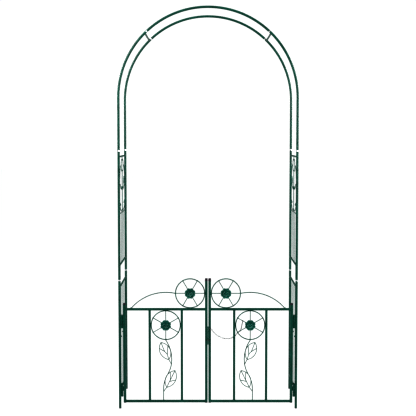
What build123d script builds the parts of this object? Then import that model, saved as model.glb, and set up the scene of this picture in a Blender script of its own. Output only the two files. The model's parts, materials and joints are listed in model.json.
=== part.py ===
"""Garden arch of round steel tube with a double gate, millimetres.

+Z is up, the gate is on the -Y side and the way through runs along Y.  The origin is on the
ground, at the middle of the whole arch's bounding box.
"""
from build123d import *
from math import asin, atan2, cos, degrees, radians, sin, tan
import os

# ---- arch: two round-tube frames joined front to back -------------------------------------
HALF_SPAN = 533.0            # middle of the arch to a tube's centre line
DEPTH = 436.0                # front tube centres to back tube centres
SPRING_Z = 1878.0            # height where the legs turn into the half circle
TUBE_R = 7.0                 # outside radius of the arch tube
BORE_R = 6.1                 # its bore
SWAGE_R = 5.8                # reduced end that slips into the next tube
SWAGE_BORE_R = 4.9
SWAGE_GAP = 8.5              # bare length of a reduced end left showing at a joint
SWAGE_GRIP = 26.0            # length of it inside the next tube
SHOULDER = 1.5               # wall across the step from full to reduced size
LOWER_JOINT_Z = 782.0
UPPER_JOINT_Z = 1561.0
CROWN_JOINT_DEG = 47.0       # angle of the crown joints above the horizontal
PLUG_HEAD = 4.0              # plastic plug showing under each leg and each stile
PLUG_FIT = 0.2               # gap round the part of a plug inside its tube
LEG_PEG = 14.0               # length of a leg plug inside its tube

# ---- side panels between the front and back legs ------------------------------------------
CROSSBAR_R = 5.0
CROSSBAR_HEIGHTS = (97.0, 740.0, 870.0, 1525.0)
MID_ROD_Z = 1180.0
MID_ROD_R = 2.6
CROWN_BAR_DEG = CROWN_JOINT_DEG - 1.6
WIRE_R = 1.45
LOWER_WIRE_PITCH = 70.0
UPPER_WIRE_PITCH = 80.0
BEAD_Z = 425.0
BEAD_R = 5.0
SCROLL_R = 2.0
EYELET_TOP_Z = 1499.0        # pointed eyelet at the head of the scrollwork
EYELET_FOOT_Z = 1439.0
EYELET_SIDE = (60.0, 1469.0)  # its widest point, where the upper curve leaves it
FOOT_SCROLL_Z = 1205.0       # where the bottom curves leave the middle stem
FOOT_SCROLL_END = (148.0, 1226.0)
FOOT_SCROLL_TIP = (126.0, 1231.0)
SIDE_FLOWER_S = 155.0        # flowers on the side panel, each side of its middle
SIDE_FLOWER_Z = 1365.0
COLLAR_Z = 1328.0
COLLAR_R = 6.5
COLLAR_H = 18.0

# ---- gate leaves, as distances from the middle of the arch --------------------------------
STILE = 15.0                 # square stile tube
RAIL = 13.0                  # square rail and bar tube
SQUARE_WALL = 1.2
SQUARE_CORNER_R = 1.5
HINGE_STILE_X = 503.5
MEETING_STILE_X = 10.1
STILE_FOOT_Z = 36.0
HINGE_STILE_TOP_Z = 644.0
MEETING_STILE_TOP_Z = 794.0
HINGE_CAP = 10.0             # height of the plastic cap on the short stile
MEETING_CAP = 14.0           # and on the tall one
CAP_PEG = 12.0               # length of a cap inside its stile
CAP_TAPER = 4.0              # draft of its head, in degrees
CAP_LIP = 0.8                # how far a tall stile's cap stands out past it
TOP_RAIL_Z = 607.0
BOTTOM_RAIL_Z = 44.0
INNER_BAR_X = 158.0
OUTER_BAR_X = 352.0

# ---- wire flowers, stems and leaves -------------------------------------------------------
RING_R = 2.75                # ring wire
SPOKE_R = 2.0
ARC_WIRE_R = 2.4
ARC_SWEEP_R = 277.0
ARC_RUN = 55.0               # from the ring's side to the top of the long curve
ARC_LEANS = (-11.4, 20.0, 50.0)  # start, middle and end of it, in degrees from its top
STEM_R = 2.2
STEM_HEEL_X = -14.0          # lower bend of a stem, from its ring's middle towards the gate's
STEM_HEEL_Z = 118.0
STEM_BELLY_X = 35.7          # upper bend
STEM_BELLY_Z = 300.0
LEAF_R = 1.8
RING_JOINT_DEG = 17.0        # a ring's own joint, clear of its spokes
FLOWER_PETALS = 8
FLOWER_R = 32.5
PETAL_R = 9.5
PETAL_H = 1.6                # thickness of the outer petals
INNER_PETAL_R = 5.55
INNER_PETAL_H = 1.4
FLOWER_EYE_R = 6.5
FLOWER_EYE_H = 1.6
FLOWER_EYE_TAPER = 25.0
TOUCH = 0.05                 # daylight left where a round wire meets a flat face

# ---- hinges, latch and chain --------------------------------------------------------------
HINGE_X = 519.5
BARREL_R = 6.0
HINGE_PIN_R = 2.6
HINGE_BORE_R = 2.68
HINGE_FEET_Z = (73.0, 492.0)
LOWER_KNUCKLE = 35.0
LEAF_KNUCKLE = 27.0
UPPER_KNUCKLE = 17.0
KNUCKLE_GAP = 0.5
HINGE_WEB = 5.0
PIN_HEAD = 2.0
PIN_HEAD_R = 3.8
LATCH_FOOT_Z = 393.0
LATCH_H = 111.0
LATCH_W = 15.0
LATCH_T = 2.5
LATCH_CORNER_R = 2.0
LATCH_GAP = 0.4              # from the middle of the gate to a latch plate's edge
LATCH_EYE_Z = 429.0
LATCH_EYE_R = 5.0
LATCH_EYE_BORE_R = 2.6
LATCH_EYE_SINK = 0.5         # how far an eye is let into its plate
LATCH_EYE_X = 8.0
LATCH_EYE_LENGTH = 12.0
STAPLE_X = 8.0
STAPLE_Z = 494.0
STAPLE_R = 4.0
STAPLE_WIRE_R = 1.2
LOCK_PIN_R = 2.3
PIN_SHANK = 44.0
PIN_HANG_X = 210.0           # where its hook sits on the flower's spoke
PIN_TILT = 11.0              # lean of the hanging pin, in degrees
PIN_HOOK_TAIL = 5.0
PIN_HOOK_R = 4.4
PIN_EYE_R = 3.6
PIN_EYE_WIRE_R = 1.1
CHAIN_LINKS = 23
LINK_WIRE_R = 0.9
LINK_HALF_WIDTH = 2.7
LINK_PLAY = 0.4
END_SEAT = 1.15              # how far an end link sits past the middle of the wire it holds

# ---- worked out from the above ------------------------------------------------------------
LATCH_REACH = STILE / 2 + LATCH_T + 2 * LATCH_EYE_R - LATCH_EYE_SINK
FRONT_Y = -(DEPTH + TUBE_R - LATCH_REACH) / 2
BACK_Y = FRONT_Y + DEPTH
MIDDLE_Y = (FRONT_Y + BACK_Y) / 2
RAIL_TOP_Z = TOP_RAIL_Z + RAIL / 2
RAIL_UNDER_Z = TOP_RAIL_Z - RAIL / 2
BOTTOM_RAIL_TOP_Z = BOTTOM_RAIL_Z + RAIL / 2
STILE_INNER_X = MEETING_STILE_X + STILE / 2
RING_REACH = (OUTER_BAR_X - INNER_BAR_X - RAIL) / 2
RING_MAJOR_R = RING_REACH - TOUCH - RING_R
LOWER_RING_X = (OUTER_BAR_X + INNER_BAR_X) / 2
LOWER_RING_Z = RAIL_UNDER_Z - RING_REACH
UPPER_RING_X = STILE_INNER_X + RING_REACH
UPPER_RING_Z = RAIL_TOP_Z + RING_REACH
FLOWER_CORE_R = FLOWER_R - PETAL_R
LATCH_FACE_Y = FRONT_Y - STILE / 2 - LATCH_T

SIDES = (("left", -1), ("right", 1))
ENDS = (("front", FRONT_Y), ("back", BACK_Y))

os.makedirs("parts", exist_ok=True)


def save(builder, name):
    """Label a finished piece and write it as its own STEP file."""
    builder.part.label = name
    export_step(builder.part, f"parts/{name}.step")


def round_wire(path, radius, bore=0.0):
    """Round wire, or tube when it has a bore, along a path and cut square at both ends."""
    with BuildPart() as wire:
        with BuildSketch(Plane(origin=path @ 0, z_dir=path % 0)):
            Circle(radius)
            if bore:
                Circle(bore, mode=Mode.SUBTRACT)
        sweep(path=path)
    return wire.part


def rod(start, end, radius, bore=0.0):
    """Straight round rod or tube between two points."""
    return round_wire(Edge.make_line(start, end), radius, bore)


def box_tube(size, plane, length):
    """Square tube with rounded corners, starting on a plane."""
    with BuildPart() as tube:
        with BuildSketch(plane):
            RectangleRounded(size, size, SQUARE_CORNER_R)
            Rectangle(size - 2 * SQUARE_WALL, size - 2 * SQUARE_WALL, mode=Mode.SUBTRACT)
        extrude(amount=length)
    return tube.part


def flower_hub(plane):
    """Stamped flower: eight outer petals, a turned ring of inner petals and a raised eye."""
    with BuildPart() as hub:
        with BuildSketch(plane):
            Circle(FLOWER_CORE_R)
            half_petal = 180 / FLOWER_PETALS
            with PolarLocations(FLOWER_CORE_R, FLOWER_PETALS, start_angle=half_petal):
                Circle(PETAL_R)
        extrude(amount=PETAL_H)
        with BuildSketch(plane.offset(PETAL_H)):
            Circle(FLOWER_CORE_R / 2)
            with PolarLocations(FLOWER_CORE_R / 2, FLOWER_PETALS):
                Circle(INNER_PETAL_R)
        extrude(amount=INNER_PETAL_H)
        with BuildSketch(plane.offset(PETAL_H + INNER_PETAL_H)):
            Circle(FLOWER_EYE_R)
        extrude(amount=FLOWER_EYE_H, taper=FLOWER_EYE_TAPER)
    return hub.part


def arch_point(angle, y):
    """Point on the half circle of an arch, the angle in degrees above +X."""
    reach = radians(angle)
    return Vector(HALF_SPAN * cos(reach), y, SPRING_Z + HALF_SPAN * sin(reach))


def arch_edge(from_angle, to_angle, y):
    """Stretch of the half circle between two angles, drawn from the first to the second."""
    middle = (from_angle + to_angle) / 2
    return Edge.make_three_point_arc(
        arch_point(from_angle, y), arch_point(middle, y), arch_point(to_angle, y)
    )


def arc_degrees(length):
    """Angle that a length takes up on the half circle."""
    return degrees(length / HALF_SPAN)


# ============================================================================================
# Arch tubes
# ============================================================================================
def swaged_leg(name, x, y, foot_z, joint_z):
    """Straight leg tube whose reduced top end slips into the tube above it."""
    shoulder_z = joint_z - SWAGE_GAP / 2
    with BuildPart() as leg:
        add(rod((x, y, foot_z), (x, y, shoulder_z - SHOULDER), TUBE_R, BORE_R))
        add(rod((x, y, shoulder_z - SHOULDER), (x, y, shoulder_z), TUBE_R, SWAGE_BORE_R))
        top_z = joint_z + SWAGE_GAP / 2 + SWAGE_GRIP
        add(rod((x, y, shoulder_z), (x, y, top_z), SWAGE_R, SWAGE_BORE_R))
    save(leg, name)


for end, y in ENDS:
    for side, sx in SIDES:
        x = sx * HALF_SPAN
        swaged_leg(f"{end}_{side}_lower_leg", x, y, PLUG_HEAD, LOWER_JOINT_Z)
        swaged_leg(f"{end}_{side}_middle_leg", x, y, LOWER_JOINT_Z + SWAGE_GAP / 2, UPPER_JOINT_Z)

        half_gap = arc_degrees(SWAGE_GAP / 2)
        start, shoulder, tip = (
            (angle if sx > 0 else 180 - angle)
            for angle in (
                0.0,
                CROWN_JOINT_DEG - half_gap,
                CROWN_JOINT_DEG + half_gap + arc_degrees(SWAGE_GRIP),
            )
        )
        step = shoulder - sx * arc_degrees(SHOULDER)
        with BuildPart() as arch_side:
            add(rod((x, y, UPPER_JOINT_Z + SWAGE_GAP / 2), (x, y, SPRING_Z), TUBE_R, BORE_R))
            add(round_wire(arch_edge(start, step, y), TUBE_R, BORE_R))
            add(round_wire(arch_edge(step, shoulder, y), TUBE_R, SWAGE_BORE_R))
            add(round_wire(arch_edge(shoulder, tip, y), SWAGE_R, SWAGE_BORE_R))
        save(arch_side, f"{end}_{side}_arch_side")

    crown_start = CROWN_JOINT_DEG + arc_degrees(SWAGE_GAP / 2)
    with BuildPart() as arch_top:
        add(round_wire(arch_edge(crown_start, 180 - crown_start, y), TUBE_R, BORE_R))
    save(arch_top, f"{end}_arch_top")

with BuildPart() as leg_plugs:
    for _, y in ENDS:
        for _, sx in SIDES:
            x = sx * HALF_SPAN
            add(rod((x, y, 0), (x, y, PLUG_HEAD), TUBE_R))
            add(rod((x, y, PLUG_HEAD), (x, y, PLUG_HEAD + LEG_PEG), BORE_R - PLUG_FIT))
save(leg_plugs, "leg_foot_plugs")


# ============================================================================================
# Crossbars, coped to sit against the round tubes
# ============================================================================================
with BuildPart() as crown_bars:
    for angle in (CROWN_BAR_DEG, 180 - CROWN_BAR_DEG):
        add(rod(arch_point(angle, FRONT_Y), arch_point(angle, BACK_Y), CROSSBAR_R))
    for _, y in ENDS:
        add(round_wire(arch_edge(30, 150, y), TUBE_R), mode=Mode.SUBTRACT)
save(crown_bars, "arch_crossbars")

for side, sx in SIDES:
    x = sx * HALF_SPAN
    with BuildPart() as crossbars:
        for z in CROSSBAR_HEIGHTS:
            add(rod((x, FRONT_Y, z), (x, BACK_Y, z), CROSSBAR_R, CROSSBAR_R - 1))
        for _, y in ENDS:
            add(rod((x, y, 0), (x, y, SPRING_Z), TUBE_R), mode=Mode.SUBTRACT)
    save(crossbars, f"{side}_side_crossbars")

with BuildPart() as mid_rods:
    for _, sx in SIDES:
        x = sx * HALF_SPAN
        add(rod((x, FRONT_Y + TUBE_R, MID_ROD_Z), (x, BACK_Y - TUBE_R, MID_ROD_Z), MID_ROD_R))
save(mid_rods, "side_mid_rods")


# ============================================================================================
# Side panel wires, scrollwork and flowers.  Along the panel, s runs from its middle to the back
# ============================================================================================
LOWER_FOOT_Z = CROSSBAR_HEIGHTS[0] + CROSSBAR_R
LOWER_HEAD_Z = CROSSBAR_HEIGHTS[1] - CROSSBAR_R
UPPER_FOOT_Z = CROSSBAR_HEIGHTS[2] + CROSSBAR_R
UPPER_HEAD_Z = CROSSBAR_HEIGHTS[3] - CROSSBAR_R
MID_TOP_Z = MID_ROD_Z + MID_ROD_R

for side, sx in SIDES:
    x = sx * HALF_SPAN
    panel = Plane(origin=(x, MIDDLE_Y, 0), x_dir=(0, 1, 0), z_dir=(1, 0, 0))

    with BuildPart() as lower_wires:
        for place in range(-2, 3):
            y = MIDDLE_Y + place * LOWER_WIRE_PITCH
            add(rod((x, y, LOWER_FOOT_Z), (x, y, LOWER_HEAD_Z), WIRE_R))
            if place in (-2, 0, 2):
                with Locations((x, y, BEAD_Z)):
                    Sphere(BEAD_R)
    save(lower_wires, f"{side}_lower_side_wires")

    with BuildPart() as upper_wires:
        for place in range(-1, 2):
            y = MIDDLE_Y + place * UPPER_WIRE_PITCH
            add(rod((x, y, UPPER_FOOT_Z), (x, y, MID_ROD_Z - MID_ROD_R), WIRE_R))
    save(upper_wires, f"{side}_upper_side_wires")

    with BuildPart() as scrolls:
        stems = (
            ((0, UPPER_HEAD_Z), (0, EYELET_TOP_Z)),
            ((0, EYELET_FOOT_Z), (0, COLLAR_Z)),
            ((0, COLLAR_Z), (0, MID_TOP_Z)),
        )
        for top, foot in stems:
            ends = [panel.from_local_coords(point) for point in (top, foot)]
            add(rod(ends[0], ends[1], SCROLL_R))
        for z in (EYELET_TOP_Z, EYELET_FOOT_Z):
            with Locations(panel.from_local_coords((0, z))):
                Sphere(SCROLL_R)
        with Locations(Location((x, MIDDLE_Y, COLLAR_Z))):
            Cylinder(COLLAR_R, COLLAR_H)
        for way in (-1, 1):
            curves = (
                ((0, EYELET_TOP_Z), EYELET_SIDE, (0, EYELET_FOOT_Z)),
                ((0, COLLAR_Z), (70, 1325), (132, 1358)),
                ((0, FOOT_SCROLL_Z), (75, 1189), FOOT_SCROLL_END),
                (FOOT_SCROLL_END, (141, 1243), FOOT_SCROLL_TIP),
                ((158, 1336), (171, 1280), FOOT_SCROLL_END),
                ((155, 1394), (124, 1452), EYELET_SIDE),
            )
            for points in curves:
                ends = [panel.from_local_coords((way * s, z)) for s, z in points]
                add(round_wire(Edge.make_three_point_arc(*ends), SCROLL_R))
            joints = (
                (FOOT_SCROLL_END, SCROLL_R), (EYELET_SIDE, SCROLL_R), (FOOT_SCROLL_TIP, BEAD_R),
            )
            for (s, z), ball_r in joints:
                with Locations(panel.from_local_coords((way * s, z))):
                    Sphere(ball_r)
    save(scrolls, f"{side}_side_scrolls")

    with BuildPart() as side_flowers:
        for way in (-1, 1):
            place = (x + sx * SCROLL_R, MIDDLE_Y + way * SIDE_FLOWER_S, SIDE_FLOWER_Z)
            add(flower_hub(Plane(origin=place, x_dir=(0, 1, 0), z_dir=(sx, 0, 0))))
    save(side_flowers, f"{side}_side_flowers")


# ============================================================================================
# Hinges: two barrels on the frame with the leaf's knuckle between them, on one pin
# ============================================================================================
def barrel(x, foot_z, height, reach_x):
    """Hinge barrel with a web out to reach_x, bored for the pin."""
    with BuildPart() as knuckle:
        add(rod((x, FRONT_Y, foot_z), (x, FRONT_Y, foot_z + height), BARREL_R))
        with BuildSketch(Plane.XY.offset(foot_z)):
            with Locations(((x + reach_x) / 2, FRONT_Y)):
                Rectangle(abs(reach_x - x), HINGE_WEB)
        extrude(amount=height)
        bore = rod((x, FRONT_Y, foot_z - 1), (x, FRONT_Y, foot_z + height + 1), HINGE_BORE_R)
        add(bore, mode=Mode.SUBTRACT)
    return knuckle.part


LEAF_KNUCKLE_FOOT = LOWER_KNUCKLE + KNUCKLE_GAP
UPPER_KNUCKLE_FOOT = LEAF_KNUCKLE_FOOT + LEAF_KNUCKLE + KNUCKLE_GAP
HINGE_HEIGHT = UPPER_KNUCKLE_FOOT + UPPER_KNUCKLE

with BuildPart() as frame_barrels:
    for _, sx in SIDES:
        for foot_z in HINGE_FEET_Z:
            for rise, height in ((0, LOWER_KNUCKLE), (UPPER_KNUCKLE_FOOT, UPPER_KNUCKLE)):
                add(barrel(sx * HINGE_X, foot_z + rise, height, sx * HALF_SPAN))
        leg = rod((sx * HALF_SPAN, FRONT_Y, 0), (sx * HALF_SPAN, FRONT_Y, LOWER_JOINT_Z), TUBE_R)
        add(leg, mode=Mode.SUBTRACT)
save(frame_barrels, "frame_hinge_barrels")

with BuildPart() as hinge_pins:
    for _, sx in SIDES:
        x = sx * HINGE_X
        for foot_z in HINGE_FEET_Z:
            top_z = foot_z + HINGE_HEIGHT
            add(rod((x, FRONT_Y, foot_z), (x, FRONT_Y, top_z), HINGE_PIN_R))
            add(rod((x, FRONT_Y, top_z), (x, FRONT_Y, top_z + PIN_HEAD), PIN_HEAD_R))
save(hinge_pins, "hinge_pins")


# ============================================================================================
# Gate leaves
# ============================================================================================
def flower_wheel(name, x, z, first_spoke):
    """Wire ring with six spokes, lying in the plane of the gate."""
    ring_joint = radians(first_spoke + RING_JOINT_DEG)
    ring_start = (cos(ring_joint), 0, sin(ring_joint))
    with BuildPart() as wheel:
        with Locations(Plane(origin=(x, FRONT_Y, z), x_dir=ring_start, z_dir=(0, 1, 0))):
            Torus(RING_MAJOR_R, RING_R)
        for turn in range(3):
            angle = radians(first_spoke + 60 * turn)
            reach = Vector(RING_MAJOR_R * cos(angle), 0, RING_MAJOR_R * sin(angle))
            hub = Vector(x, FRONT_Y, z)
            add(rod(hub - reach, hub + reach, SPOKE_R))
    save(wheel, name)


def wire_leaf(plane, base, tip, outer, inner, vein_ends, petiole):
    """Leaf bent from wire: two curved edges, a midvein, one vein to each edge and a stalk.

    vein_ends gives, for each side vein, its edge, how far along that edge it starts and the
    point where it meets the midvein.
    """
    with BuildPart() as leaf:
        base_point, tip_point, stalk_end = (
            plane.from_local_coords(point) for point in (base, tip, petiole)
        )
        edges = {
            name: Edge.make_three_point_arc(base_point, plane.from_local_coords(point), tip_point)
            for name, point in (("outer", outer), ("inner", inner))
        }
        for edge in edges.values():
            add(round_wire(edge, LEAF_R))
        spine = [tip_point]
        for edge_name, along, meeting in vein_ends:
            meeting_point = plane.from_local_coords(meeting)
            add(rod(edges[edge_name] @ along, meeting_point, LEAF_R))
            spine.append(meeting_point)
        spine.append(base_point)
        spine.append(stalk_end)
        for first, last in zip(spine, spine[1:]):
            add(rod(first, last, LEAF_R))
            with Locations(first):
                Sphere(LEAF_R)
    return leaf.part


# Leaf shapes: distance from the ring's middle towards the meeting stile, and height
UPPER_LEAF = dict(
    base=(18, 300.6), tip=(-28.7, 404.4), outer=(-37, 350), inner=(30, 345), petiole=(31.5, 276),
    vein_ends=(("outer", 0.72, (-7.6, 350)), ("inner", 0.66, (8.9, 332.5))),
)
LOWER_LEAF = dict(
    base=(5.3, 130), tip=(55, 232.3), outer=(62.4, 184.5), inner=(-3, 182), petiole=(-12.5, 106.6),
    vein_ends=(("inner", 0.78, (27, 175)), ("outer", 0.55, (22, 166))),
)

for side, sx in SIDES:
    gate = f"{side}_gate"

    stiles = (
        ("hinge_stile", HINGE_STILE_X, HINGE_STILE_TOP_Z - HINGE_CAP),
        ("meeting_stile", MEETING_STILE_X, MEETING_STILE_TOP_Z - MEETING_CAP),
    )
    for name, offset_x, top_z in stiles:
        foot_z = STILE_FOOT_Z + PLUG_HEAD
        with BuildPart() as stile:
            add(box_tube(STILE, Plane((sx * offset_x, FRONT_Y, foot_z)), top_z - foot_z))
        save(stile, f"{gate}_{name}")

    rail_length = HINGE_STILE_X - STILE / 2 - STILE_INNER_X
    for name, z in (("top_rail", TOP_RAIL_Z), ("bottom_rail", BOTTOM_RAIL_Z)):
        rail_plane = Plane(origin=(sx * STILE_INNER_X, FRONT_Y, z), z_dir=(sx, 0, 0))
        with BuildPart() as rail:
            add(box_tube(RAIL, rail_plane, rail_length))
        save(rail, f"{gate}_{name}")

    with BuildPart() as bars:
        for offset_x in (INNER_BAR_X, OUTER_BAR_X):
            bar_plane = Plane((sx * offset_x, FRONT_Y, BOTTOM_RAIL_TOP_Z))
            add(box_tube(RAIL, bar_plane, RAIL_UNDER_Z - BOTTOM_RAIL_TOP_Z))
    save(bars, f"{gate}_bars")

    with BuildPart() as caps:
        peg = STILE - 2 * SQUARE_WALL - PLUG_FIT
        lipped = STILE + 2 * CAP_LIP
        cap_rows = (
            (HINGE_STILE_X, HINGE_STILE_TOP_Z - HINGE_CAP, HINGE_CAP, STILE),
            (MEETING_STILE_X, MEETING_STILE_TOP_Z - MEETING_CAP, MEETING_CAP, lipped),
            (HINGE_STILE_X, STILE_FOOT_Z + PLUG_HEAD, -PLUG_HEAD, STILE),
            (MEETING_STILE_X, STILE_FOOT_Z + PLUG_HEAD, -PLUG_HEAD, STILE),
        )
        for offset_x, z, head, head_size in cap_rows:
            with BuildSketch(Plane((sx * offset_x, FRONT_Y, z))):
                RectangleRounded(head_size, head_size, SQUARE_CORNER_R)
            extrude(amount=head, taper=CAP_TAPER)
            with BuildSketch(Plane((sx * offset_x, FRONT_Y, z))):
                Rectangle(peg, peg)
            extrude(amount=-CAP_PEG if head > 0 else CAP_PEG)
    save(caps, f"{gate}_caps")

    with BuildPart() as knuckles:
        for foot_z in HINGE_FEET_Z:
            reach_x = sx * (HINGE_STILE_X + STILE / 2)
            add(barrel(sx * HINGE_X, foot_z + LEAF_KNUCKLE_FOOT, LEAF_KNUCKLE, reach_x))
    save(knuckles, f"{gate}_hinge_knuckles")

    flower_wheel(f"{gate}_upper_flower_ring", sx * UPPER_RING_X, UPPER_RING_Z, 0)
    flower_wheel(f"{gate}_lower_flower_ring", sx * LOWER_RING_X, LOWER_RING_Z, 30)

    with BuildPart() as hubs:
        for ring_x, ring_z in ((UPPER_RING_X, UPPER_RING_Z), (LOWER_RING_X, LOWER_RING_Z)):
            place = (sx * ring_x, FRONT_Y - SPOKE_R, ring_z)
            add(flower_hub(Plane(origin=place, x_dir=(1, 0, 0), z_dir=(0, -1, 0))))
    save(hubs, f"{gate}_flower_hubs")

    # Long curve that springs from the upper ring and comes down on the top rail
    arc_middle_z = UPPER_RING_Z - (ARC_SWEEP_R ** 2 - ARC_RUN ** 2) ** 0.5
    arc_middle_x = UPPER_RING_X + RING_REACH + ARC_RUN
    sweep_points = []
    for lean in ARC_LEANS:
        reach = radians(lean)
        arc_x = sx * (arc_middle_x + ARC_SWEEP_R * sin(reach))
        sweep_points.append((arc_x, FRONT_Y, arc_middle_z + ARC_SWEEP_R * cos(reach)))
    with BuildPart() as arc_wire:
        add(round_wire(Edge.make_three_point_arc(*sweep_points), ARC_WIRE_R))
        with Locations((sx * LOWER_RING_X, FRONT_Y, TOP_RAIL_Z)):
            Box(2 * HINGE_STILE_X, RAIL, RAIL, mode=Mode.SUBTRACT)
    save(arc_wire, f"{gate}_arc_wire")

    # Flower stem, from the bottom rail up: x runs from the ring's middle towards the meeting stile
    flat = Plane(origin=(sx * LOWER_RING_X, FRONT_Y, 0), x_dir=(-sx, 0, 0), z_dir=(0, sx, 0))
    stem_top_z = LOWER_RING_Z - RING_REACH - STEM_R / 2
    sway = 2 * atan2(STEM_BELLY_X - STEM_HEEL_X, STEM_BELLY_Z - STEM_HEEL_Z)
    sway_r = (STEM_BELLY_Z - STEM_HEEL_Z) / 2 / sin(sway)
    head_r = (STEM_BELLY_X ** 2 + (stem_top_z - STEM_BELLY_Z) ** 2) / (2 * STEM_BELLY_X)
    head_turn = asin((stem_top_z - STEM_BELLY_Z) / head_r)
    with BuildLine(flat) as stem_line:
        Line((STEM_HEEL_X, BOTTOM_RAIL_TOP_Z), (STEM_HEEL_X, STEM_HEEL_Z))
        CenterArc((STEM_HEEL_X + sway_r, STEM_HEEL_Z), sway_r, 180, -degrees(sway))
        CenterArc((STEM_BELLY_X - sway_r, STEM_BELLY_Z), sway_r, -degrees(sway), degrees(sway))
        CenterArc((STEM_BELLY_X - head_r, STEM_BELLY_Z), head_r, 0, degrees(head_turn))
    with BuildPart() as stem:
        add(round_wire(stem_line.wires()[0], STEM_R))
    save(stem, f"{gate}_flower_stem")

    leaf_plane = flat.offset(-sx * (STEM_R + LEAF_R))
    with BuildPart() as leaves:
        add(wire_leaf(leaf_plane, **UPPER_LEAF))
        add(wire_leaf(leaf_plane, **LOWER_LEAF))
    save(leaves, f"{gate}_stem_leaves")

    # Latch plate with a bolt eye; the right one also holds the staple of the chain
    with BuildPart() as latch:
        plate_x = sx * (LATCH_GAP + LATCH_W / 2)
        with BuildSketch(Plane(origin=(plate_x, LATCH_FACE_Y, LATCH_FOOT_Z + LATCH_H / 2),
                               x_dir=(1, 0, 0), z_dir=(0, 1, 0))):
            RectangleRounded(LATCH_W, LATCH_H, LATCH_CORNER_R)
        extrude(amount=LATCH_T)
        eye_y = LATCH_FACE_Y - LATCH_EYE_R + LATCH_EYE_SINK
        eye_ends = [
            (sx * (LATCH_EYE_X + half * LATCH_EYE_LENGTH / 2), eye_y, LATCH_EYE_Z)
            for half in (-1, 1)
        ]
        add(rod(eye_ends[0], eye_ends[1], LATCH_EYE_R))
        add(rod(eye_ends[0], eye_ends[1], LATCH_EYE_BORE_R), mode=Mode.SUBTRACT)
        if side == "right":
            loop = Edge.make_three_point_arc(
                (STAPLE_X, LATCH_FACE_Y, STAPLE_Z + STAPLE_R),
                (STAPLE_X, LATCH_FACE_Y - STAPLE_R, STAPLE_Z),
                (STAPLE_X, LATCH_FACE_Y, STAPLE_Z - STAPLE_R),
            )
            add(round_wire(loop, STAPLE_WIRE_R))
    save(latch, f"{gate}_latch_plate")


# ============================================================================================
# Locking pin, hung by its hook on a spoke of the right leaf's lower flower, and its chain
# ============================================================================================
hook_reach = PIN_HANG_X - LOWER_RING_X
hook_middle = Vector(PIN_HANG_X, FRONT_Y, LOWER_RING_Z - hook_reach * tan(radians(30)))
pin_up = Vector(sin(radians(PIN_TILT)), 0, cos(radians(PIN_TILT)))
behind = Vector(0, PIN_HOOK_R, 0)
shank_foot = hook_middle + behind - pin_up * PIN_SHANK
eye_middle = shank_foot - pin_up * PIN_EYE_R
with BuildPart() as locking_pin:
    add(rod(shank_foot, hook_middle + behind, LOCK_PIN_R))
    crook = Edge.make_three_point_arc(
        hook_middle + behind, hook_middle + pin_up * PIN_HOOK_R, hook_middle - behind
    )
    add(round_wire(crook, LOCK_PIN_R))
    add(rod(hook_middle - behind, hook_middle - behind - pin_up * PIN_HOOK_TAIL, LOCK_PIN_R))
    with Locations(Plane(origin=eye_middle, z_dir=(0, 1, 0))):
        Torus(PIN_EYE_R, PIN_EYE_WIRE_R)
save(locking_pin, "locking_pin")

# The chain's line: from the staple, across the stile, down in a loop, behind the inner bar
# and the flower ring, and up along the lower spoke to the pin's eye.  (x, back from the gate's
# middle plane, z)
chain_points = (
    (20.0, -14.0, 489.0),
    (29.0, -12.0, 477.0),
    (37.0, -9.5, 465.0),
    (53.0, -5.0, 450.5),
    (78.0, 0.5, 436.0),
    (104.0, 6.0, 427.0),
    (130.0, 10.0, 426.5),
    (150.0, 11.5, 433.0),
    (166.0, 10.5, 445.0),
    (178.0, 9.0, 459.0),
    (190.0, 7.4, 469.5),
)
staple_hold = (STAPLE_X - END_SEAT, LATCH_FACE_Y - STAPLE_R, STAPLE_Z + END_SEAT / 3)
eye_hold = eye_middle - pin_up * (PIN_EYE_R - END_SEAT)
with BuildLine() as chain_line:
    Spline(staple_hold, *[(x, FRONT_Y + back, z) for x, back, z in chain_points], eye_hold)
chain_edge = chain_line.edges()[0]
link_pitch = chain_edge.length / CHAIN_LINKS
link_straight = (link_pitch + 2 * LINK_WIRE_R + LINK_PLAY) / 2 - LINK_HALF_WIDTH

with BuildLine() as link_line:
    near_side = Line((-link_straight, -LINK_HALF_WIDTH), (link_straight, -LINK_HALF_WIDTH))
    TangentArc(near_side @ 1, (link_straight, LINK_HALF_WIDTH), tangent=(1, 0))
    Line((link_straight, LINK_HALF_WIDTH), (-link_straight, LINK_HALF_WIDTH))
    TangentArc((-link_straight, LINK_HALF_WIDTH), near_side @ 0, tangent=(-1, 0))
link = round_wire(link_line.wires()[0], LINK_WIRE_R)

with BuildPart() as chain:
    for number in range(CHAIN_LINKS):
        start = chain_edge @ (number / CHAIN_LINKS)
        end = chain_edge @ ((number + 1) / CHAIN_LINKS)
        along = (end - start).normalized()
        flat_way = Vector(0, 1, 0).cross(along).normalized()
        face = flat_way if number % 2 == 0 else along.cross(flat_way)
        seat = Plane(origin=(start + end) / 2, x_dir=along, z_dir=face)
        add(link.moved(seat.location))
save(chain, "latch_chain")
print(f"chain {chain_edge.length:.1f} mm, pitch {link_pitch:.2f} mm, {CHAIN_LINKS} links")
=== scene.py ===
"""Looks of the garden arch with a double gate, built round its CAD frame.

Metres, +Z up, the gate on the -Y side.  The CAD nodes are the tubes, wires, hinges, latch and
chain.  This script gives each of them its finish, and adds the stamped flowers and the welds.
"""

import json
import math
import random

import bmesh
import bpy
from mathutils import Matrix, Vector, noise


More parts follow.
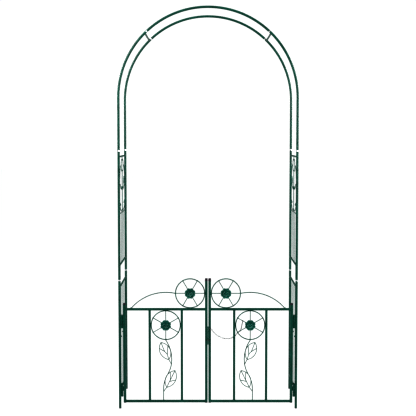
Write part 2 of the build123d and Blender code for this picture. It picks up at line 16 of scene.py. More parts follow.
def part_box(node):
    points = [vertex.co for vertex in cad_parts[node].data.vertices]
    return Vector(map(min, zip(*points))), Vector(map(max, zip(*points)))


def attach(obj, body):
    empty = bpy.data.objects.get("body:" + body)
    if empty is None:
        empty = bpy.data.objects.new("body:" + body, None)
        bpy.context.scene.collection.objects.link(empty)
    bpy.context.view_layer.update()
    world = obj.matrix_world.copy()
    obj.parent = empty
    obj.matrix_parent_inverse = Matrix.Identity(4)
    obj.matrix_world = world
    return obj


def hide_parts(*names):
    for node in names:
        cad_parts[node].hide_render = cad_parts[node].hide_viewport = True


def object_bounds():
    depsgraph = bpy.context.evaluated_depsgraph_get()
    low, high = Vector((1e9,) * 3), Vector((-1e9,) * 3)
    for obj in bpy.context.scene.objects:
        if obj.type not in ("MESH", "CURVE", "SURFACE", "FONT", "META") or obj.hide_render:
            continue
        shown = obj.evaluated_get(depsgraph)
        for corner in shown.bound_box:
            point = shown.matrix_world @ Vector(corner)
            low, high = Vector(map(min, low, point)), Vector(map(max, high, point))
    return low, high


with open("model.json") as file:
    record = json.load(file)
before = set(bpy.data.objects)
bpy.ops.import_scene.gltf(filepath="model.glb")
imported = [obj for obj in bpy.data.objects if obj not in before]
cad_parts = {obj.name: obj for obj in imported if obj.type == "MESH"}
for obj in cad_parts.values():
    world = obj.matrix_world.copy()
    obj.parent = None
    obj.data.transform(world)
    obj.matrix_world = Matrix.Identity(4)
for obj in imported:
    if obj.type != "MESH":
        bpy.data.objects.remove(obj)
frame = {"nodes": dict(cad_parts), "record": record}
cad_low, cad_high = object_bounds()
NODES = frame["nodes"]
SIDES = (("left", -1), ("right", 1))
ENDS = ("front", "back")
random.seed(11)


def middle(node):
    """Middle of a CAD node's box."""
    low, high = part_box(node)
    return (low + high) / 2


# ============================================================================================
# Sizes, from the frame where it holds them
# ============================================================================================
LEG_LOW, LEG_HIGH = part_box("front_right_lower_leg")
TUBE_R = (LEG_HIGH.x - LEG_LOW.x) / 2
HALF_SPAN = (LEG_HIGH.x + LEG_LOW.x) / 2
FRONT_Y = middle("front_right_lower_leg").y
BACK_Y = middle("back_right_lower_leg").y
MIDDLE_Y = (FRONT_Y + BACK_Y) / 2
SPRING_Z = cad_high.z - HALF_SPAN - TUBE_R
SWAGE_GAP = 0.0085           # bare reduced tube left showing at a joint
SWAGE_GRIP = 0.026           # and hidden inside the next tube
CROWN_JOINT = math.radians(47.0)
CROWN_BAR = math.radians(45.4)
CROSSBAR_R = 0.005
LOWER_WIRE_PITCH = 0.070
UPPER_WIRE_PITCH = 0.080
FLOWER_R = 0.0325
SIDE_FLOWER_Z = 1.365
SIDE_FLOWER_S = 0.155        # from the middle of the side panel

# ============================================================================================
# Camera, light and stage
# ============================================================================================
CAMERA_DISTANCE = 5.489      # from the camera to the plane of the gate
CAMERA_HEIGHT = 1.650
CAMERA_TILT = math.radians(3.708)
CAMERA_LENS = 79.56
CAMERA_SHIFT = -0.03
SENSOR_WIDTH = 36.0
PICTURE_GAMMA = 0.5          # thin dark wires on white average as they do in a photograph
BACKDROP_GLOW = 1.06         # seen by the camera behind the object
ROOM_GLOW = 0.15             # the same all round, as the object is lit by it
FLOOR_HALF = 40.0
FLOOR_TONE = 0.05
FLOOR_GLOW = 0.99
WHITE = (1, 1, 1, 1)
GATE_AIM = (0.0, 0.0, 1.0)
SOFTBOXES = (                # name, place, size and power; all turned towards the gate
    ("key", (-3.2, -3.4, 3.6), 2.4, 520),
    ("fill", (3.6, -2.6, 2.2), 2.4, 330),
    ("rim_left", (-3.4, 3.0, 2.6), 2.0, 150),
    ("rim_right", (3.4, 3.0, 2.6), 2.0, 150),
    ("top", (0.0, 0.0, 5.6), 3.2, 110),
)

camera_data = bpy.data.cameras.new("camera")
camera_data.lens = CAMERA_LENS
camera_data.sensor_width = SENSOR_WIDTH
camera_data.shift_y = CAMERA_SHIFT
camera = bpy.data.objects.new("camera", camera_data)
camera.location = (0.0, FRONT_Y - CAMERA_DISTANCE, CAMERA_HEIGHT)
camera.rotation_euler = (math.pi / 2 - CAMERA_TILT, 0.0, 0.0)
bpy.context.scene.collection.objects.link(camera)
bpy.context.scene.camera = camera
bpy.context.scene.view_settings.view_transform = "Standard"
bpy.context.scene.view_settings.gamma = PICTURE_GAMMA


def shader_node(tree, kind, inputs=(), **settings):
    """Add a node to a tree.  An input given a socket is linked, and any other value is set."""
    made = tree.nodes.new(kind)
    for name, value in settings.items():
        setattr(made, name, value)
    for name, value in dict(inputs).items():
        if isinstance(value, bpy.types.NodeSocket):
            tree.links.new(value, made.inputs[name])
        else:
            made.inputs[name].default_value = value
    return made


def light_world():
    """White backdrop, and a dimmer white all round that lights the object."""
    world = bpy.data.worlds.new("studio")
    bpy.context.scene.world = world
    world.use_nodes = True
    tree = world.node_tree
    tree.nodes.clear()
    room = shader_node(tree, "ShaderNodeBackground", {"Color": WHITE, "Strength": ROOM_GLOW})
    backdrop = shader_node(
        tree, "ShaderNodeBackground", {"Color": WHITE, "Strength": BACKDROP_GLOW}
    )
    ray = shader_node(tree, "ShaderNodeLightPath")
    mixed = shader_node(tree, "ShaderNodeMixShader", {
        0: ray.outputs["Is Camera Ray"], 1: room.outputs[0], 2: backdrop.outputs[0],
    })
    shader_node(tree, "ShaderNodeOutputWorld", {"Surface": mixed.outputs[0]})


def softbox(name, place, size, power):
    """Square area light turned towards the gate."""
    data = bpy.data.lights.new(name, "AREA")
    data.size = size
    data.energy = power
    light = bpy.data.objects.new(name, data)
    light.location = place
    aim = Vector(GATE_AIM) - Vector(place)
    light.rotation_euler = aim.to_track_quat("-Z", "Y").to_euler()
    bpy.context.scene.collection.objects.link(light)


def make_floor():
    """Pale floor without a visible edge, bright enough to leave no shadow."""
    bm = bmesh.new()
    bmesh.ops.create_grid(bm, x_segments=8, y_segments=8, size=FLOOR_HALF)
    mesh = bpy.data.meshes.new("floor")
    bm.to_mesh(mesh)
    bm.free()
    floor = bpy.data.objects.new("floor", mesh)
    bpy.context.scene.collection.objects.link(floor)
    material = bpy.data.materials.new("floor_white")
    material.use_nodes = True
    surface = material.node_tree.nodes["Principled BSDF"]
    surface.inputs["Base Color"].default_value = (FLOOR_TONE, FLOOR_TONE, FLOOR_TONE, 1)
    surface.inputs["Roughness"].default_value = 0.9
    surface.inputs["Specular IOR Level"].default_value = 0.1
    surface.inputs["Emission Color"].default_value = WHITE
    surface.inputs["Emission Strength"].default_value = FLOOR_GLOW
    mesh.materials.append(material)


light_world()
for name, place, size, power in SOFTBOXES:
    softbox(name, place, size, power)
make_floor()


# ============================================================================================
# Finishes
# ============================================================================================
GREEN_DARK = (0.0006, 0.0450, 0.0300, 1)
GREEN_LIGHT = (0.0012, 0.0700, 0.0490, 1)
# Petal greens, lighter than the tube greens of the same coat: a painted highlight for the light
# the cupped petals catch. The coat drifts between the two at random.
PAINTED_LIT_PETAL_DARK = (0.0012, 0.0600, 0.0430, 1)
PAINTED_LIT_PETAL_LIGHT = (0.0060, 0.1250, 0.0950, 1)
ZINC_DARK = (0.46, 0.47, 0.48, 1)
ZINC_LIGHT = (0.74, 0.75, 0.76, 1)
CHAIN_DARK = (0.11, 0.12, 0.12, 1)
CHAIN_LIGHT = (0.24, 0.26, 0.255, 1)
CHARCOAL_DARK = (0.010, 0.009, 0.013, 1)
CHARCOAL_LIGHT = (0.026, 0.023, 0.032, 1)
DUST = (0.20, 0.22, 0.20, 1)
DUST_SHARE = 0.06            # at most, on a face that looks straight up
BARE_POLISH = 0.06           # how much smoother the bare steel is than the coat
RAGGED_EDGE = 0.0006         # unevenness of the coat's edge at a joint


def blend_colours(tree, share, first, second):
    """Colour between two others by a share from 0 to 1."""
    made = shader_node(tree, "ShaderNodeMix", data_type="RGBA")
    tree.links.new(share, made.inputs[0])
    for place, value in ((6, first), (7, second)):
        if isinstance(value, bpy.types.NodeSocket):
            tree.links.new(value, made.inputs[place])
        else:
            made.inputs[place].default_value = value
    return made.outputs[2]


def calculate(tree, operation, *values):
    """One step of arithmetic on numbers or sockets."""
    return shader_node(
        tree, "ShaderNodeMath", dict(enumerate(values)), operation=operation
    ).outputs[0]


def spread(tree, value, low, high, to_low, to_high):
    """Map a value's range onto another, held at both ends."""
    return shader_node(tree, "ShaderNodeMapRange", {
        "Value": value, "From Min": low, "From Max": high, "To Min": to_low, "To Max": to_high,
    }).outputs[0]


def grain(tree, place, scale, detail=2.0, roughness=0.5):
    """Soft noise of a given scale, in cycles a metre."""
    return shader_node(tree, "ShaderNodeTexNoise", {
        "Vector": place, "Scale": scale, "Detail": detail, "Roughness": roughness,
    }).outputs["Fac"]


def start_material(name):
    """New material with its tree, its Principled shader and the object's own coordinates."""
    material = bpy.data.materials.new(name)
    material.use_nodes = True
    tree = material.node_tree
    place = shader_node(tree, "ShaderNodeTexCoord").outputs["Object"]
    return material, tree, tree.nodes["Principled BSDF"], place


def add_bump(tree, surface, height, strength, distance):
    """Raise a surface's shading by a height map."""
    bump = shader_node(tree, "ShaderNodeBump", {
        "Height": height, "Strength": strength, "Distance": distance,
    })
    tree.links.new(bump.outputs["Normal"], surface.inputs["Normal"])


def coat_colour(tree, place, dark, light):
    """Powder coat that drifts a little along a tube, with a film of dust where it faces up."""
    drift = spread(tree, grain(tree, place, 14.0, 4.0), 0.3, 0.7, 0.0, 1.0)
    green = blend_colours(tree, drift, dark, light)
    facing = shader_node(tree, "ShaderNodeSeparateXYZ", {
        0: shader_node(tree, "ShaderNodeNewGeometry").outputs["Normal"],
    }).outputs["Z"]
    settled = calculate(
        tree, "MULTIPLY",
        spread(tree, facing, 0.5, 1.0, 0.0, DUST_SHARE),
        spread(tree, grain(tree, place, 60.0, 3.0), 0.35, 0.7, 0.2, 1.0),
    )
    return blend_colours(tree, settled, green, DUST)


def zinc_colour(tree, place, dark, light):
    """Grey zinc with the faint crystals of a plated surface."""
    crystals = shader_node(tree, "ShaderNodeTexVoronoi", {"Vector": place, "Scale": 420.0})
    tone = calculate(
        tree, "ADD",
        calculate(tree, "MULTIPLY", crystals.outputs["Distance"], 0.5),
        calculate(tree, "MULTIPLY", grain(tree, place, 90.0, 3.0), 0.6),
    )
    return blend_colours(tree, spread(tree, tone, 0.25, 0.8, 0.0, 1.0), dark, light)


def powder_coat(name, peel_scale=620.0, peel=0.32, sheen=0.36, bare=None,
                greens=(GREEN_DARK, GREEN_LIGHT)):
    """Satin powder coat with an orange-peel skin.

    bare(tree, place) gives where the coat stops and plated steel shows, as 0 or 1.
    """
    material, tree, surface, place = start_material(name)
    colour = coat_colour(tree, place, *greens)
    skin = grain(tree, place, peel_scale, 2.0)
    polish = spread(tree, grain(tree, place, 45.0, 3.0), 0.3, 0.7, sheen - 0.05, sheen + 0.08)
    if bare:
        share = bare(tree, place)
        bright_zinc = zinc_colour(tree, place, ZINC_DARK, ZINC_LIGHT)
        colour = blend_colours(tree, share, colour, bright_zinc)
        tree.links.new(share, surface.inputs["Metallic"])
        polish = calculate(
            tree, "SUBTRACT", polish, calculate(tree, "MULTIPLY", share, BARE_POLISH)
        )
    tree.links.new(colour, surface.inputs["Base Color"])
    tree.links.new(polish, surface.inputs["Roughness"])
    surface.inputs["Specular IOR Level"].default_value = 0.34
    add_bump(tree, surface, skin, peel, 0.0004)
    return material


def past_height(height):
    """The coat stops above a height, with a slightly uneven edge."""
    def mask(tree, place):
        level = shader_node(tree, "ShaderNodeSeparateXYZ", {0: place}).outputs["Z"]
        ragged = spread(
            tree, grain(tree, place, 300.0), 0.0, 1.0, -RAGGED_EDGE, RAGGED_EDGE
        )
        edge = calculate(tree, "ADD", level, ragged)
        return calculate(tree, "GREATER_THAN", edge, height)
    return mask


def past_crown_joint(sx):
    """The coat stops past the shoulder of the reduced end, measured along the arch."""
    shoulder = CROWN_JOINT - SWAGE_GAP / 2 / HALF_SPAN
    point = Vector((
        sx * HALF_SPAN * math.cos(shoulder), 0.0, SPRING_Z + HALF_SPAN * math.sin(shoulder)
    ))
    onward = Vector((-sx * math.sin(shoulder), 0.0, math.cos(shoulder)))

    def mask(tree, place):
        travel = shader_node(tree, "ShaderNodeVectorMath", {
            0: place, 1: tuple(onward),
        }, operation="DOT_PRODUCT").outputs["Value"]
        ragged = spread(
            tree, grain(tree, place, 300.0), 0.0, 1.0, -RAGGED_EDGE, RAGGED_EDGE
        )
        edge = calculate(tree, "ADD", travel, ragged)
        return calculate(tree, "GREATER_THAN", edge, point.dot(onward))
    return mask


def plated_zinc():
    """Dull weathered zinc of the chain, the locking pin and the hinge pins."""
    material, tree, surface, place = start_material("zinc_plate")
    tone = zinc_colour(tree, place, CHAIN_DARK, CHAIN_LIGHT)
    tree.links.new(tone, surface.inputs["Base Color"])
    polish = spread(tree, grain(tree, place, 250.0, 3.0), 0.3, 0.7, 0.36, 0.54)
    tree.links.new(polish, surface.inputs["Roughness"])
    surface.inputs["Metallic"].default_value = 1.0
    add_bump(tree, surface, grain(tree, place, 900.0), 0.2, 0.0002)
    return material


def moulded_plastic():
    """Charcoal plastic with a fine moulded texture."""
    material, tree, surface, place = start_material("charcoal_plastic")
    tone = spread(tree, grain(tree, place, 120.0, 4.0), 0.3, 0.7, 0.0, 1.0)
    tree.links.new(
        blend_colours(tree, tone, CHARCOAL_DARK, CHARCOAL_LIGHT), surface.inputs["Base Color"]
    )
    polish = spread(tree, grain(tree, place, 700.0), 0.3, 0.7, 0.50, 0.64)
    tree.links.new(polish, surface.inputs["Roughness"])
    surface.inputs["Specular IOR Level"].default_value = 0.35
    add_bump(tree, surface, grain(tree, place, 1800.0, 3.0), 0.35, 0.0003)
    return material


COAT = powder_coat("powder_green")
WIRE_COAT = powder_coat("wire_green", peel_scale=900.0, peel=0.22, sheen=0.34)
# the flowers' coat, in the lighter petal greens: a painted highlight on the same powder coat
STAMPED_COAT_PAINTED_HIGHLIGHT = powder_coat("stamped_green_painted_highlight", peel_scale=800.0, peel=0.28, sheen=0.32,
                           greens=(PAINTED_LIT_PETAL_DARK, PAINTED_LIT_PETAL_LIGHT))
WELD_COAT = powder_coat("weld_green", peel_scale=1100.0, peel=0.45, sheen=0.42)
ZINC = plated_zinc()
PLASTIC = moulded_plastic()

FINISHES = {
    "powder_green": COAT,
    "green_wire": WIRE_COAT,
    "green_stamping": STAMPED_COAT_PAINTED_HIGHLIGHT,
    "black_plastic": PLASTIC,
    "zinc": ZINC,
}


def paint(node, material):
    """Give every material slot of a CAD node one finish."""
    for slot in NODES[node].material_slots:
        slot.material = material


for part in frame["record"]["subparts"]:
    paint(part["node"], FINISHES[part["material_slot"]])

for side, sx in SIDES:
    arch_coat = powder_coat(f"arch_green_{side}", bare=past_crown_joint(sx))
    for end in ENDS:
        paint(f"{end}_{side}_arch_side", arch_coat)
for kind in ("lower", "middle"):
    leg_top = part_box(f"front_left_{kind}_leg")[1].z
    leg_coat = powder_coat(
        f"{kind}_leg_green", bare=past_height(leg_top - SWAGE_GRIP - SWAGE_GAP)
    )
    for end in ENDS:
        for side, _ in SIDES:
            paint(f"{end}_{side}_{kind}_leg", leg_coat)


# ============================================================================================
# Mesh helpers
# ============================================================================================
def finish_piece(bm, name, body, material):
    """Turn a bmesh into a smooth piece that rides on a body."""
    bmesh.ops.recalc_face_normals(bm, faces=bm.faces)
    mesh = bpy.data.meshes.new(name)
    bm.to_mesh(mesh)
    bm.free()
    for polygon in mesh.polygons:
        polygon.use_smooth = True
    mesh.materials.append(material)
    piece = bpy.data.objects.new(name, mesh)
    bpy.context.scene.collection.objects.link(piece)
    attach(piece, body)
    return piece


def skin_path(bm, path, radii, sides, closed=False):
    """Skin a round section along a path, with a radius for each of its points."""
    count = len(path)
    centre = sum(path, Vector()) / count
    rings = []
    normal = None
    for index, point in enumerate(path):
        ahead = path[(index + 1) % count] if closed or index < count - 1 else point
        behind = path[index - 1] if closed or index > 0 else point
        tangent = (ahead - behind).normalized()
        if closed:
            normal = point - centre
        elif normal is None:
            normal = tangent.orthogonal()
        normal = (normal - tangent * normal.dot(tangent)).normalized()
        across = tangent.cross(normal)
        ring = []
        for corner in range(sides):
            turn = 2 * math.pi * corner / sides
            way = normal * math.cos(turn) + across * math.sin(turn)
            ring.append(bm.verts.new(point + way * radii[index]))
        rings.append(ring)
    pairs = list(zip(rings, rings[1:]))
    if closed:
        pairs.append((rings[-1], rings[0]))
    for first, second in pairs:
        for corner in range(sides):
            following = (corner + 1) % sides
            bm.faces.new((first[corner], first[following], second[following], second[corner]))
    if not closed:
        bm.faces.new(rings[0][::-1])
        bm.faces.new(rings[-1])


RIPPLE_PITCH = 0.0022        # from one ripple of a weld to the next
BEAD_SIDES = 8
BEAD_STEP = 0.0011           # length of one ring of a bead's mesh


def weld_bead(bm, path, radius, closed=False):
    """Weld laid along a path: rippled by the welder's steps and, if open, rounded off."""
    steps = []
    run = 0.0
    for index, point in enumerate(path):
        if index:
            run += (point - path[index - 1]).length
        steps.append(run)
    radii = []
    for run_here in steps:
        ripple = 0.88 + 0.14 * abs(math.sin(math.pi * run_here / RIPPLE_PITCH))
        share = run_here / steps[-1]
        taper = 1.0 if closed else (1.0 - abs(2 * share - 1) ** 5) ** 0.5 + 0.12
        radii.append(radius * ripple * taper * random.uniform(0.93, 1.07))
    skin_path(bm, path, radii, BEAD_SIDES, closed)


def straight_bead(bm, start, end, radius):
    """Weld bead along a straight line."""
    start = Vector(start)
    end = Vector(end)
    steps = max(8, round((end - start).length / BEAD_STEP))
    weld_bead(bm, [start.lerp(end, step / steps) for step in range(steps + 1)], radius)


def weld_spot(bm, place, size):
    """Lump of weld metal round a joint, given its half sizes."""
    made = bmesh.ops.create_icosphere(bm, subdivisions=2, radius=1.0)
    place = Vector(place)
    for vert in made["verts"]:
        lump = 1 + 0.22 * noise.noise(vert.co * 1.4 + place * 170)
        vert.co = place + Vector(vert.co[axis] * size[axis] * lump for axis in range(3))


def square_bead(bm, centre, half, radius):
    """Weld bead all round the end of a square tube that runs along X."""
    corners = [(-1, -1), (1, -1), (1, 1), (-1, 1)]
    steps = 11
    path = []
    for corner, following in zip(corners, corners[1:] + corners[:1]):
        for step in range(steps):
            share = step / steps
            u = corner[0] + (following[0] - corner[0]) * share
            v = corner[1] + (following[1] - corner[1]) * share
            path.append(Vector(centre) + Vector((0, u, v)) * half)
    weld_bead(bm, path, radius, closed=True)


# ============================================================================================
# Stamped flowers
# ============================================================================================
SHEET = 0.0010               # thickness of a petal
CREASE_DEPTH = 0.0008
CREASE_SHARE = 0.17          # width of the crease, as a share of the petal's half width
VEIN_DEPTH = 0.00022
VEIN_COUNT = 17
RIM_ROLL = 0.0005
EGG = 0.26                   # how much wider a petal is towards its tip


def add_petal(bm, seat, reach_from, reach_to, half_width, lift, cup, curl):
    """Petal pressed from sheet: an egg shape, creased down the middle, with a rolled rim."""
    rings = 6
    segments = 24
    halfway = (reach_from + reach_to) / 2
    half_reach = (reach_to - reach_from) / 2
    layers = []
    for face in (1, -1):
        grid = []
        for ring in range(rings + 1):
            share = ring / rings
            row = []
            for segment in range(1 if ring == 0 else segments):
                turn = 2 * math.pi * segment / segments
                along = math.cos(turn) * share
                across = math.sin(turn) * share
                crease = -CREASE_DEPTH * math.exp(-(across / CREASE_SHARE) ** 2) * (1 - share ** 4)
                veins = VEIN_DEPTH * math.cos(across * VEIN_COUNT) * share * (1 - share)
                rim = RIM_ROLL * share ** 8
                height = lift + cup * across ** 2 + curl * max(along, 0.0) ** 2
                row.append(bm.verts.new(seat @ Vector((
                    halfway + half_reach * along,
                    half_width * (1 + EGG * along) * across,
                    height + crease + veins + rim + face * SHEET / 2,
                ))))
            grid.append(row)
        layers.append(grid)
    for grid in layers:
        for segment in range(segments):
            following = (segment + 1) % segments
            bm.faces.new((grid[0][0], grid[1][segment], grid[1][following]))
            for ring in range(1, rings):
                bm.faces.new((
                    grid[ring][segment], grid[ring + 1][segment],
                    grid[ring + 1][following], grid[ring][following],
                ))
    for segment in range(segments):
        following = (segment + 1) % segments
        bm.faces.new((
            layers[0][-1][segment], layers[1][-1][segment],
            layers[1][-1][following], layers[0][-1][following],
        ))


def turned_piece(bm, seat, profile, segments, ripple=0.0, ripples=8):
    """Closed turned shape from (radius, height) points, its skirt scalloped by a ripple."""
    rows = []
    for radius, height in profile:
        if radius == 0.0:
            rows.append([bm.verts.new(seat @ Vector((0, 0, height)))])
            continue
        row = []
        for segment in range(segments):
            turn = 2 * math.pi * segment / segments
            reach = radius * (1 + ripple * math.cos(ripples * turn))
            row.append(bm.verts.new(seat @ Vector((
                reach * math.cos(turn), reach * math.sin(turn), height
            ))))
        rows.append(row)
    for first, second in zip(rows, rows[1:]):
        for segment in range(segments):
            following = (segment + 1) % segments
            corners = [
                first[segment % len(first)], first[following % len(first)],
                second[following % len(second)], second[segment % len(second)],
            ]
            unique = list(dict.fromkeys(corners))
            bm.faces.new(unique)


PETALS = 8
BACK_DISC = ((0.0, 0.0), (0.0165, 0.0), (0.0175, 0.0006), (0.0165, 0.0016), (0.0, 0.0026))
EYE = (
    (0.0, 0.0020), (0.0068, 0.0030), (0.0070, 0.0046), (0.0062, 0.0058), (0.0038, 0.0066),
    (0.0032, 0.0078), (0.0018, 0.0086), (0.0, 0.0088),
)
EYE_BEAD_R = 0.0011
EYE_BEAD_SEAT = Vector((0.0052, 0.0, 0.0062))


def add_flower(bm, seat):
    """Eight outer petals, eight smaller ones turned between them, and a beaded eye."""
    turned_piece(bm, seat, BACK_DISC, 40)
    pitch = 360 / PETALS
    for petal in range(PETALS):
        raised = petal % 2
        outer = seat @ Matrix.Rotation(math.radians(pitch / 2 + pitch * petal), 4, "Z")
        add_petal(bm, outer, reach_from=0.0075, reach_to=FLOWER_R, half_width=0.0106,
                  lift=0.0016 + 0.0009 * raised, cup=0.0024, curl=0.0028)
        inner = seat @ Matrix.Rotation(math.radians(pitch * petal), 4, "Z")
        add_petal(bm, inner, reach_from=0.0030, reach_to=0.0195, half_width=0.0064,
                  lift=0.0042 + 0.0006 * raised, cup=0.0024, curl=0.0036)
        made = bmesh.ops.create_icosphere(bm, subdivisions=2, radius=EYE_BEAD_R)
        for vert in made["verts"]:
            vert.co = inner @ (vert.co + EYE_BEAD_SEAT)
    turned_piece(bm, seat, EYE, 32, ripple=0.03)


for side, sx in SIDES:
    gate = f"{side}_gate"
    flowers = bmesh.new()
    for ring in ("upper", "lower"):
        hub = middle(f"{gate}_{ring}_flower_ring")
        back_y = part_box(f"{gate}_flower_hubs")[1].y
        seat = Matrix.Translation((hub.x, back_y, hub.z)) @ Matrix.Rotation(math.pi / 2, 4, "X")
        add_flower(flowers, seat)
    piece = finish_piece(flowers, f"{gate}_rosettes", gate, STAMPED_COAT_PAINTED_HIGHLIGHT)
    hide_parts(f"{gate}_flower_hubs")

    # the side flowers are pressed half as deep
    flowers = bmesh.new()
    low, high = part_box(f"{side}_side_flowers")
    inner_x = low.x if sx > 0 else high.x
    flatten = Matrix.Diagonal((1.0, 1.0, 0.5, 1.0))
    for way in (-1, 1):
        place = Matrix.Translation((inner_x, MIDDLE_Y + way * SIDE_FLOWER_S, SIDE_FLOWER_Z))
        add_flower(flowers, place @ Matrix.Rotation(sx * math.pi / 2, 4, "Y") @ flatten)
    piece = finish_piece(flowers, f"{side}_side_rosettes", "frame",
                         STAMPED_COAT_PAINTED_HIGHLIGHT)
    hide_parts(f"{side}_side_flowers")


# ============================================================================================
# Welds on the gate leaves
# ============================================================================================
SPOT = Vector((0.0042, 0.0030, 0.0042))
SMALL_SPOT = Vector((0.0026, 0.0020, 0.0026))
CONTACT_HALF = 0.0105        # half length of the weld where a ring touches a flat face
CONTACT_R = 0.0026
FILLET_R = 0.0012
KNUCKLE_H = 0.027            # height of a leaf's knuckle
KNUCKLE_EDGE = 0.0029        # from its middle to the edge of its web
BARREL_EDGE = 0.0030         # the same for a barrel on the frame
HINGE_BEAD_R = 0.0014
HINGE_H = 0.080              # whole height of a hinge
BARREL_BEADS = ((0.001, 0.034), (0.064, 0.079))  # from a hinge's foot
BEAD_INSET = 0.001
LATCH_BEAD_X = 0.0099        # middle of the bead above and below a latch plate
LATCH_BEAD_HALF = 0.005
LATCH_BEAD_R = 0.0015
STEM_FOOT = 0.014            # from the ring's middle to the stem's foot

# Joints of the two wire leaves: (distance from the stem's ring towards the gate's middle, height)
LEAF_JOINTS = (
    (-0.0287, 0.4044), (0.0180, 0.3006), (-0.0076, 0.3500), (0.0089, 0.3325), (0.0315, 0.2760),
    (0.0550, 0.2323), (0.0053, 0.1300), (0.0270, 0.1750), (0.0220, 0.1660), (-0.0125, 0.1066),
)


def ring_welds(bm, centre, ring_r, first_spoke):
    """A spot of weld where each of the six spokes meets the ring."""
    for spoke in range(6):
        turn = math.radians(first_spoke + 60 * spoke)
        reach = Vector((math.cos(turn), 0.0, math.sin(turn))) * ring_r
        weld_spot(bm, centre + reach, SPOT)


def gate_welds(side, sx):
    """All the welds of one leaf."""
    gate = f"{side}_gate"
    bm = bmesh.new()
    stile_low, stile_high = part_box(f"{gate}_meeting_stile")
    hinge_low, hinge_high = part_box(f"{gate}_hinge_stile")
    top_low, top_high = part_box(f"{gate}_top_rail")
    foot_low, foot_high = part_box(f"{gate}_bottom_rail")
    bars_low, bars_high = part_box(f"{gate}_bars")
    bar = top_high.z - top_low.z
    inner_face = stile_high.x if sx > 0 else stile_low.x
    outer_face = hinge_low.x if sx > 0 else hinge_high.x
    y = FRONT_Y

    # rings, their spokes and where they touch the rail, the stile and the bars
    for ring, first_spoke in (("upper", 0), ("lower", 30)):
        low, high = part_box(f"{gate}_{ring}_flower_ring")
        centre = (low + high) / 2
        wire_r = (high.y - low.y) / 2
        outer_r = (high.z - low.z) / 2
        ring_welds(bm, centre, outer_r - wire_r, first_spoke)
        contacts = [(-sx, 0), (0, -1)] if ring == "upper" else [(-1, 0), (1, 0), (0, 1)]
        for way_x, way_z in contacts:
            touch = centre + Vector((way_x, 0.0, way_z)) * (outer_r - wire_r * 0.4)
            along = Vector((abs(way_z), 0.0, abs(way_x))) * CONTACT_HALF
            straight_bead(bm, touch - along, touch + along, CONTACT_R)

    # long curve over the rail
    curve_low, curve_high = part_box(f"{gate}_arc_wire")
    far_x = curve_high.x if sx > 0 else curve_low.x
    weld_spot(bm, (far_x - sx * 0.002, y, top_high.z + 0.001), SPOT)

    # rails to stiles, bars to rails
    for rail_low, rail_high in ((top_low, top_high), (foot_low, foot_high)):
        z = (rail_low.z + rail_high.z) / 2
        for face in (inner_face, outer_face):
            square_bead(bm, (face, y, z), bar / 2, FILLET_R)
    bar_centres = (bars_low.x + bar / 2, bars_high.x - bar / 2)
    for x in bar_centres:
        for z in (bars_low.z, bars_high.z):
            for way in (-1, 1):
                edge = x + way * bar / 2
                straight_bead(bm, (edge, y - bar / 2, z), (edge, y + bar / 2, z), FILLET_R)

    # stem and leaves
    stem_low, stem_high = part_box(f"{gate}_flower_stem")
    ring_x = middle(f"{gate}_lower_flower_ring").x
    weld_spot(bm, (ring_x, y, stem_high.z), SMALL_SPOT * 1.3)
    weld_spot(bm, (ring_x + sx * STEM_FOOT, y, stem_low.z), SMALL_SPOT * 1.4)
    leaf_y = middle(f"{gate}_stem_leaves").y
    for inward, z in LEAF_JOINTS:
        weld_spot(bm, (ring_x - sx * inward, leaf_y, z), SMALL_SPOT)

    # hinge knuckles to the hinge stile
    low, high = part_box(f"{gate}_hinge_knuckles")
    stile_face = hinge_high.x if sx > 0 else hinge_low.x
    for foot_z in (low.z, high.z - KNUCKLE_H):
        for way in (-1, 1):
            edge_y = y + way * KNUCKLE_EDGE
            straight_bead(bm, (stile_face, edge_y, foot_z + BEAD_INSET),
                          (stile_face, edge_y, foot_z + KNUCKLE_H - BEAD_INSET), HINGE_BEAD_R)

    # latch plate to the meeting stile
    low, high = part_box(f"{gate}_latch_plate")
    bead_x = sx * LATCH_BEAD_X
    for z in (low.z, high.z):
        straight_bead(bm, (bead_x - LATCH_BEAD_HALF, stile_low.y, z),
                      (bead_x + LATCH_BEAD_HALF, stile_low.y, z), LATCH_BEAD_R)
    return finish_piece(bm, f"{gate}_welds", gate, WELD_COAT)


for side, sx in SIDES:
    gate_welds(side, sx)


# ============================================================================================
# Welds on the arch
# ============================================================================================
def saddle_bead(bm, centre, tube_way, y_way):
    """Weld where a round crossbar along Y meets the side of a round tube."""
    across = Vector((0, 1, 0)).cross(tube_way).normalized()
    steps = 36
    path = []
    for step in range(steps):
        turn = 2 * math.pi * step / steps
        side_reach = CROSSBAR_R * math.cos(turn)
        depth = math.sqrt(TUBE_R ** 2 - side_reach ** 2)
        path.append(
            centre + across * side_reach + tube_way * (CROSSBAR_R * math.sin(turn))
            + Vector((0, y_way * depth, 0))
        )
    weld_bead(bm, path, FILLET_R, closed=True)


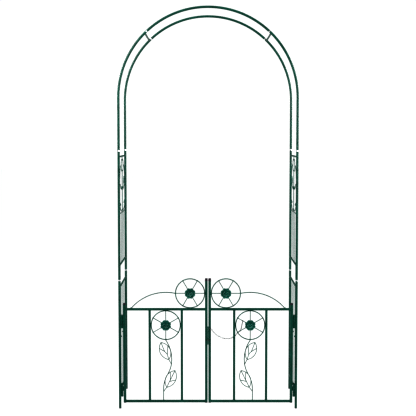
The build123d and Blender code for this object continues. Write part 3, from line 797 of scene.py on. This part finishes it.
def frame_welds():
    """Welds of the crossbars, side wires and hinge barrels."""
    bm = bmesh.new()
    end_rows = ((FRONT_Y, 1), (BACK_Y, -1))
    for side, sx in SIDES:
        x = sx * HALF_SPAN
        lower_low, lower_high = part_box(f"{side}_lower_side_wires")
        upper_low, upper_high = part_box(f"{side}_upper_side_wires")
        scroll_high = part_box(f"{side}_side_scrolls")[1]
        mid_z = middle("side_mid_rods").z
        bar_heights = (
            lower_low.z - CROSSBAR_R, lower_high.z + CROSSBAR_R,
            upper_low.z - CROSSBAR_R, scroll_high.z + CROSSBAR_R,
        )
        upright = Vector((0, 0, 1))
        for y, inward in end_rows:
            for z in bar_heights:
                saddle_bead(bm, Vector((x, y, z)), upright, inward)
            weld_spot(bm, (x, y + inward * TUBE_R, mid_z), SMALL_SPOT * 1.3)
            crown = Vector((
                sx * HALF_SPAN * math.cos(CROWN_BAR), y, SPRING_Z + HALF_SPAN * math.sin(CROWN_BAR)
            ))
            onward = Vector((-sx * math.sin(CROWN_BAR), 0.0, math.cos(CROWN_BAR)))
            saddle_bead(bm, crown, onward, inward)
        wire_rows = (
            (range(-2, 3), LOWER_WIRE_PITCH, (lower_low.z, lower_high.z)),
            (range(-1, 2), UPPER_WIRE_PITCH, (upper_low.z, upper_high.z)),
            ((0,), 0.0, (scroll_high.z, mid_z)),
        )
        for places, pitch, heights in wire_rows:
            for place in places:
                for z in heights:
                    weld_spot(bm, (x, MIDDLE_Y + place * pitch, z), SMALL_SPOT)

        # hinge barrels to the front leg
        barrels_low, barrels_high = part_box("frame_hinge_barrels")
        leg_face = x - sx * TUBE_R * 0.93
        for foot_z in (barrels_low.z, barrels_high.z - HINGE_H):
            for start, end in BARREL_BEADS:
                for way in (-1, 1):
                    edge_y = FRONT_Y + way * BARREL_EDGE
                    straight_bead(bm, (leg_face, edge_y, foot_z + start),
                                  (leg_face, edge_y, foot_z + end), HINGE_BEAD_R)
    return finish_piece(bm, "frame_welds", "frame", WELD_COAT)


frame_welds()
